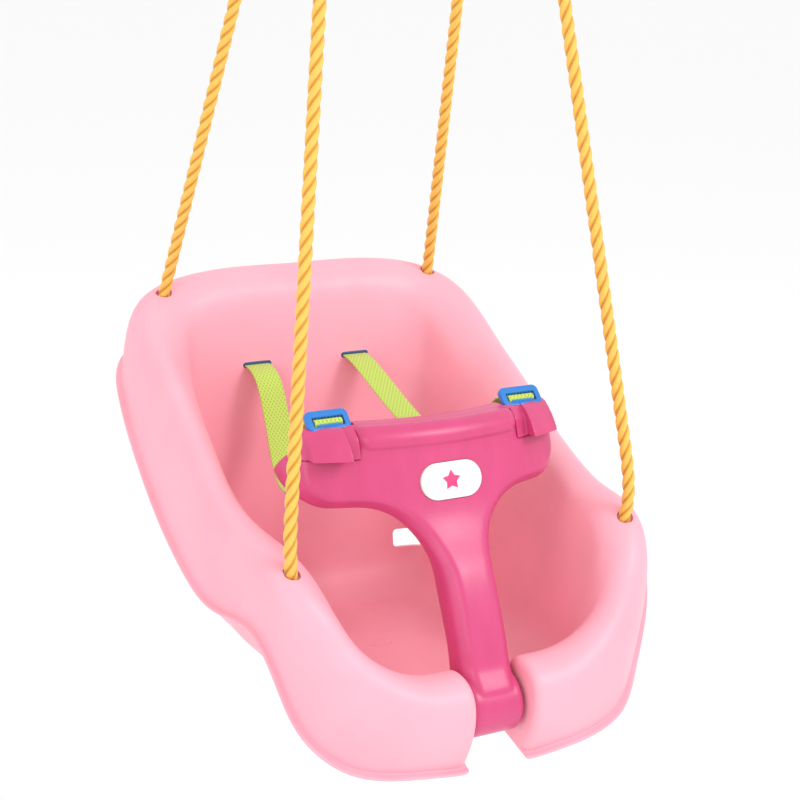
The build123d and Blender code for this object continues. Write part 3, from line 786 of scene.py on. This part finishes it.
def seat_cutters():
    """Rope holes, strap slots, lower back openings and the drain slit."""
    cutters = []
    ends = (((139, 322, 147), (136, 310.5, 175)), ((154, 8, -22), (155, 0, 0)))
    for _, side in SIDES:
        for low, high in ends:
            low, high = (np.array((side * p[0], p[1], p[2]), float) for p in (low, high))
            along = unit(high - low)
            across = unit(np.cross(along, (0, 1, 0)))
            other = np.cross(along, across)
            rings = []
            for reach in (-20, 20):
                turns = np.radians(np.arange(0, 360, 10))
                ring = np.outer(np.cos(turns), across) + np.outer(np.sin(turns), other)
                rings.append(high + along * reach + ring * ROPE_HOLE_R)
            cutters.append(loft("hole", rings))
        cutters.append(prism("slot", strap_slot_outline(side, 28, 5), "y", 286, 316))
        opening = rounded(30, 18, 4, (side * 101, -88))
        cutters.append(prism("opening", opening, "y", 256, 310))
    cutters.append(prism("drain", rounded(24, 2.5, 1.24, (0, 150)), "z", -145, -125))
    return cutters


def make_seat():
    places, faces = seat_half()
    seat = mesh_piece("bucket_seat", hang(places), faces)
    twin = seat.modifiers.new("twin", "MIRROR")
    twin.use_clip = True
    twin.merge_threshold = 0.00005
    finish_mesh(settle(seat))
    combine(seat, seat_cutters())
    return finish_mesh(seat, 38)


dress(make_seat(), "seat_pink", "seat", "seat_shell")


# ---------------------------------------------------------------- hinged guard
PLATE = 34.0              # nominal depth of the guard in flat working coordinates
BOW_CENTRE = 276.0
AXLE_Y, AXLE_Z = -31.0, -122.0
STEM_HALF = 23.5
BORE_R = 4.1              # of the knuckle, round the axle
WING_END = 140            # beyond the end of either wing
HOOD_FROM = 73.2          # inner and lower limit of the corners that the hoods cover
FACE_LINE = (             # (z, y) of the guard's face at its middle
    (-114, -55), (-102, -50), (-91, -42), (-78, -37.6), (-58, -31), (-28, -18.5), (-13, -10),
    (5.5, 4), (25, 16), (38, 21), (51, 24.6), (66, 28.6), (82, 33), (100, 38),
)
BACK_LINE = (             # (z, y) of its back
    (-110, -8), (-90, -7.5), (-71, -2.3), (-45, 9.4), (-15, 23), (45, 62), (84, 70), (100, 69),
)
EDGE_PROFILE = (          # (inset, depth) of the guard's edge, from its face round to its back
    (16, 0), (11, 0), (8.6, 0.6), (6.6, 2.2), (2.2, 7.0), (0.6, 9.4), (0, 12),
    (0, 24), (1.2, 29), (5, 33), (10, 34),
)


def guard_line(z, line, start, end):
    """The y of one of the guard's lines at the heights z, with its slopes at both ends."""
    knots, values = np.array(line, float).T
    inside = np.clip(z, knots[0], knots[-1])
    return clamped_spline(knots, values[:, None], start, end, inside)[:, 0]


def bowed(points):
    """Flat guard coordinates (x, depth, z) in mm to seat coordinates, bowed round the child."""
    x, depth, z = points.T
    front = guard_line(z, FACE_LINE, 0.3, 0.3)
    back = guard_line(z, BACK_LINE, 0.0, -0.1)
    radius = BOW_CENTRE - (front + (back - front) * depth / PLATE)
    return np.stack([x, BOW_CENTRE - np.sqrt(radius**2 - x**2), z], 1)


def guard_outline():
    """Front outline of the head and the stem, as (x, z), counter-clockwise from the stem."""
    half = [(STEM_HALF, -116), (STEM_HALF, -60)]
    half += arc((78.5, -22), 55, 180, 90, 14)
    half += arc((98, 61), 28, -90, 0, 12)
    half += arc((98, 70), 28, 0, 90, 12)
    return half + [(-x, z) for x, z in half[::-1]]


def inset_outline(outline, distance):
    """The outline moved inwards by distance."""
    points = np.array(outline, float)
    ahead = unit(np.roll(points, -1, 0) - points)
    behind = np.roll(ahead, 1, 0)
    inwards = np.stack([-ahead[:, 1] - behind[:, 1], ahead[:, 0] + behind[:, 0]], 1)
    share = 2 / (inwards**2).sum(1, keepdims=True)
    return points + inwards * share * distance


def guard_plate(grow=0.0):
    """Head and stem in flat coordinates, with the guard's edge all round."""
    outline = guard_outline()
    rings = []
    for inset, depth in EDGE_PROFILE:
        ring = inset_outline(outline, inset - grow)
        level = depth - grow if depth < PLATE / 2 else depth + grow
        rings.append([(x, level, z) for x, z in ring])
    return loft("plate", rings, flat)


def top_roll():
    """Thick rounded roll across the top of the head, between the latches."""
    rings = []
    for x in np.concatenate([-66 - 9 * np.cos(np.linspace(0, pi / 2, 6)), [-30, 0, 30],
                             66 + 9 * np.sin(np.linspace(0, pi / 2, 6))]):
        over = max(0, abs(x) - 66) / 9.2
        radius = 10.0 * sqrt(1 - over**2)
        rings.append([(x, 5.2 + y, 88 + z * 1.02) for y, z in arc((0, 0), radius, 0, 345, 24)])
    return loft("roll", rings, flat)


def knuckle():
    """Barrel of the hinge, with rounded ends and the axle's bore."""
    profile = [(-STEM_HALF, BORE_R), (-STEM_HALF, 21.5), (-22.3, 24.3), (-19.5, 25.5),
               (19.5, 25.5), (22.3, 24.3), (STEM_HALF, 21.5), (STEM_HALF, BORE_R), (0, BORE_R)]
    rings = []
    for a in np.radians(np.arange(0, 361, 6)):
        rings.append([(x, AXLE_Y + r * cos(a), AXLE_Z + r * sin(a)) for x, r in profile])
    return loft("knuckle", rings, caps=False)


def hood_form(side):
    """Cap over the wing's top corner in flat coordinates: a scoop with a pocket under it."""
    region = [(side * 73.6, 73.6), (side * 135, 73.6), (side * 135, 105), (side * 73.6, 105)]
    corner = prism("region", region, "y", -6, 7, flat)
    cap = combine(finish_mesh(guard_plate(0.9)), [corner], "INTERSECT")
    scoop = [(5, 74.5), (5, 97.2), (1.5, 98), (-2.6, 96.6), (-6.4, 92.5), (-9.6, 86.5),
             (-11.8, 80), (-12.4, 75.2), (-11.6, 74.5)]
    low, high = sorted((side * 84.5, side * 114.5))
    form = fuse("hood", [cap, prism("scoop", scoop, "x", low, high, flat)], 0.8, 3)
    pocket = [(4, 70), (4, 88), (1, 90), (-3, 88.6), (-6.6, 83.5), (-8.9, 77.5), (-9.8, 70)]
    low, high = sorted((side * 87, side * 112))
    return combine(form, [prism("pocket", pocket, "x", low, high, flat)])


def channel(side):
    """Open channel in the back of the guard, for the buckle's tongue."""
    low, high = sorted((side * 78, side * 104))
    return box("channel", (low, 60, 60), (high, 150, 130))


BADGE_LEAN = radians(13)


def on_badge(points):
    """Badge coordinates (across, up, proud) in mm to the frame."""
    points = np.asarray(points, float).reshape(-1, 3)
    up = np.array((0, sin(BADGE_LEAN), cos(BADGE_LEAN)))
    out = np.array((0, -cos(BADGE_LEAN), sin(BADGE_LEAN)))
    origin = np.array((0, 24.4, 51.0))
    return hang(origin + points[:, :1] * (1, 0, 0) + points[:, 1:2] * up + points[:, 2:] * out)


def make_guard():
    """The guard's body and its two latch hoods."""
    roots = []
    for _, side in SIDES:
        inner, outer = side * HOOD_FROM, side * WING_END
        corner = [(inner, HOOD_FROM), (outer, HOOD_FROM), (outer, 120), (inner, 120)]
        roots.append(prism("seat", corner, "y", -20, 7.4, flat))
    plate = reshape(combine(fuse("plate", [guard_plate(), top_roll()], 1.5, 3), roots),
                    lambda places: hang(bowed(places)))
    guard = fuse("guard", [plate, knuckle()], 1.2, 6)
    behind = [(60.21, 87.15), (60.21, 125.15), (115.21, 125.15), (115.21, 44.65)]
    for _, side in SIDES[::-1]:
        low, high = sorted((side * 69.83, side * 141.3))
        combine(guard, [prism("shoulder", behind, "x", low, high)])
        combine(guard, [channel(side)])
    pill = rounded(56.8, 31.2, 15.55, count=16)
    combine(guard, [prism("badge_seat", pill, "z", -3.4, 20, on_badge)])
    dress(finish_mesh(guard, 50), "guard_magenta", "t_bar", "t_bar")
    guard.name = "guard_bar"
    for name, side in SIDES:
        hood = reshape(finish_mesh(hood_form(side)), lambda places: hang(bowed(places)))
        combine(finish_mesh(hood), [channel(side)])
        hood.name = f"hood_{name}"
        dress(finish_mesh(hood, 45), "guard_magenta", "t_bar", f"latch_hood_{name}")


make_guard()


def make_badge():
    """Cream pill with a raised border and a small pink star."""
    levels = ((0, -3.3), (0, 0.2), (0.3, 0.8), (1.0, 1.1), (3.0, 1.1), (3.6, 0.8), (4.0, 0.1),
              (7, 0.0))
    rings = []
    for inset, level in levels:
        outline = rounded(56 - 2 * inset, 30.4 - 2 * inset, 15.2 - inset - 0.01, count=16)
        rings.append([(x, y, level) for x, y in outline])
    plate = finish_mesh(loft("badge", rings, on_badge), 60)
    dress(plate, "badge_white", "t_bar", "badge_plate")
    star = [(r * sin(pi * k / 5), r * cos(pi * k / 5)) for k, r in enumerate([8.5, 4.6] * 5)]
    emblem = prism("badge_star", star, "z", -0.5, 1.0, on_badge)
    bevel(finish_mesh(emblem), 0.5)
    dress(finish_mesh(emblem), "badge_accent", "t_bar", "badge_emblem")


make_badge()


# ---------------------------------------------------------------- buckles and shoulder straps
BUCKLE_CENTRE = (67.5, 101.5)


def buckle_to_seat(points, side):
    """Buckle coordinates (across, up the frame, out of it) to seat coordinates, on one side."""
    across, up, out = np.asarray(points, float).reshape(-1, 3).T
    y = BUCKLE_CENTRE[0] + (up - out) / sqrt(2)
    z = BUCKLE_CENTRE[1] + (up + out) / sqrt(2)
    return np.stack([side * BUCKLE_X + across, y, z], 1)


def on_buckle(side):
    """Buckle coordinates on one side to the frame, as a function for prism()."""
    return lambda points: hang(buckle_to_seat(points, side))


def make_buckle(name, side):
    """Ladder-lock frame with a toothed grip bar, a cross bar and a ribbed tongue."""
    place = on_buckle(side)
    body = prism("frame", rounded(38, 19, 5, (0, 0), 8), "z", -2.5, 2.5, place)
    finish_mesh(body)
    bevel(body, 1.1)
    window = rounded(28, 9.2, 1.2, (0, -1.4), 4)
    combine(body, [prism("window", window, "z", -6, 6, place)])
    extras = [prism("bar", rounded(2.6, 2.4, 1.1, (-1.4, -0.4), 4), "x", -15, 15, place)]
    for k in range(9):
        x = -11.6 + k * 2.9
        tooth = [(x - 1.2, 4.2), (x, 1.9), (x + 1.2, 4.2)]
        extras.append(prism("tooth", tooth, "z", -1.4, 1.9, place))
    prong = [(-5, -7.2), (5, -7.2), (4, -9.6), (-4, -9.6)]
    extras.append(prism("prong", prong, "z", 1.8, 3.4, place))
    shaped = bmesh.new()
    shaped.from_mesh(body.data)
    tongue = rounded(22, 30, 3, (side * BUCKLE_X, 85.5), 5)
    extras.append(prism("tongue", tongue, "y", 60.8, 65.0))
    left, right = side * BUCKLE_X - 8, side * BUCKLE_X + 8
    for z in (75, 79, 83):
        extras.append(box("rib", (left, 64.6, z), (right, 65.6, z + 1.6)))
    for extra in extras:
        finish_mesh(extra)
        bevel(extra, 0.35, 2)
        shaped.from_mesh(extra.data)
        drop(extra)
    shaped.to_mesh(body.data)
    shaped.free()
    body.name = f"side_release_{name}"
    dress(finish_mesh(body, 35), "buckle_blue", f"buckle_{name}", f"buckle_{name}")


STRAP_MIDDLES = {
    "left": [(50.7, 314, 98), (50.7, 299, 99), (50.7, 279, 92), (51, 262, 68), (53, 246, 42),
             (59, 222, 22), (70, 180, 14), (82, 135, 28), (89, 104, 62), (91, 92, 92)],
    "right": [(50.7, 314, 98), (50.7, 299, 99), (51.5, 275, 92), (54, 240, 75), (58, 200, 56),
              (66, 160, 40), (76, 128, 36), (86, 107, 52), (90, 98, 74), (91, 90, 95)],
}
THREADED = (              # (up, out) of the webbing round the buckle's cross bar
    (6, -9), (2.4, -3.4), (1.3, 0.4), (-1.4, 2.3), (-4.1, 0.4), (-5, -3.6), (-3, -11), (2, -19),
)


def make_strap(name, side):
    """Webbing from its anchor to the buckle, round the buckle's cross bar and back as a tail."""
    middle = [(side * x, y, z) for x, y, z in STRAP_MIDDLES[name]]
    threaded = buckle_to_seat([(0, up, out) for up, out in THREADED], side)
    points = smooth_through(np.concatenate([middle, threaded]), 1.6)
    ahead = unit(np.gradient(points, axis=0) * (0, 1, 1))
    normals = np.stack([0 * ahead[:, 0], -ahead[:, 2], ahead[:, 1]], 1)
    half, thick = 12.5, 0.85
    section = [(-half, 0), (-half + 0.4, -thick * 0.8), (-half + 1.2, -thick), (-half / 3, -thick),
               (half / 3, -thick), (half - 1.2, -thick), (half - 0.4, -thick * 0.8), (half, 0)]
    section += [(x, -t) for x, t in section[-2:0:-1]]
    rings = [[p + np.array((x, 0, 0)) + n * t for x, t in section] for p, n in zip(points, normals)]
    strap = loft(f"webbing_{name}", rings)
    travelled = np.concatenate([[0], np.cumsum(np.linalg.norm(np.diff(points, axis=0), axis=1))])
    numbers = np.zeros(len(strap.data.loops), int)
    strap.data.loops.foreach_get("vertex_index", numbers)
    across = np.array(section)[numbers % len(section), 0]
    layer = strap.data.uv_layers.new(name="weave")
    layer.data.foreach_set(
        "uv", (np.stack([across, travelled[numbers // len(section)]], 1) * MM).ravel())
    finish_ropes(strap)
    dress(strap, "webbing_green", None, f"shoulder_strap_{name}")
    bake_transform(strap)


def make_anchor(name, side):
    """Slide behind the backrest that holds the strap, with a collar lining the slot."""
    plate = prism("anchor", rounded(38, 16, 3, (side * SLOT_X, 98)), "y", 314.4, 319.0)
    bevel(finish_mesh(plate), 0.8)
    collar = []
    centre = (side * SLOT_X, SLOT_Z)
    for grow, y in ((0.4, 300.6), (0.9, 301.0), (-0.3, 302.5), (-0.3, 315), (-1.4, 315),
                    (-1.4, 300.6)):
        width, height = 28 + 2 * grow - 0.2, 5 + 2 * grow - 0.2
        outline = rounded(width, height, 2.35 + grow, centre, 8)
        collar.append([(x, y, z) for x, z in outline])
    liner = finish_mesh(loft("liner", collar + collar[:1], caps=False))
    body = bmesh.new()
    for form in (plate, liner):
        body.from_mesh(form.data)
    for z in (92.4, 96.6, 100.8):
        low, high = (side * SLOT_X - 15, 318.6, z), (side * SLOT_X + 15, 319.4, z + 1.4)
        rib = finish_mesh(box("rib", low, high))
        body.from_mesh(rib.data)
        drop(rib)
    body.to_mesh(plate.data)
    body.free()
    drop(liner)
    plate.name = f"strap_slide_{name}"
    dress(finish_mesh(plate), "anchor_blue", "seat", f"strap_anchor_{name}")


for name, side in SIDES:
    make_buckle(name, side)
    make_strap(name, side)
    make_anchor(name, side)

for node, slot in (("hinge_axle", "zinc_steel"), ("axle_cap_left", "cap_plastic"),
                   ("axle_cap_right", "cap_plastic")):
    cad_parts[node].data.materials.clear()
    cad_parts[node].data.materials.append(FINISHES[slot])


# ---------------------------------------------------------------- floor and light
def make_floor():
    """Pale studio floor, well below the hanging seat."""
    half, level = 30.0, -1.35
    floor = mesh_piece("floor", [(-half, -half, level), (half, -half, level), (half, half, level),
                                 (-half, half, level)], [(0, 1, 2, 3)])
    made = Finish("floor", 0.9, Specular_IOR_Level=0.1)
    made.shader.inputs["Base Color"].default_value = (0.96, 0.96, 0.96, 1)
    floor.data.materials.append(made.material)


def area_light(name, place, target, size, power):
    """Round soft light, turned towards its target."""
    data = bpy.data.lights.new(name, "AREA")
    data.shape = "DISK"
    data.size = size
    data.energy = power
    lamp = bpy.data.objects.new(name, data)
    lamp.location = place
    lamp.rotation_mode = "QUATERNION"
    lamp.rotation_quaternion = (Vector(target) - Vector(place)).to_track_quat("-Z", "Y")
    bpy.context.scene.collection.objects.link(lamp)


def make_light():
    """White surroundings, a key light from the right and a fill from the left."""
    world = bpy.data.worlds.new("studio")
    world.use_nodes = True
    world.node_tree.nodes["Background"].inputs["Color"].default_value = (1, 1, 1, 1)
    world.node_tree.nodes["Background"].inputs["Strength"].default_value = 1.0
    bpy.context.scene.world = world
    seat_middle = (0.0, 0.05, -0.8)
    area_light("key", (1.1, -1.7, 1.0), seat_middle, 1.0, 24)
    area_light("fill", (-2.0, -1.4, 0.2), seat_middle, 1.6, 12)


make_floor()
make_light()
bpy.context.scene.view_settings.view_transform = "Standard"
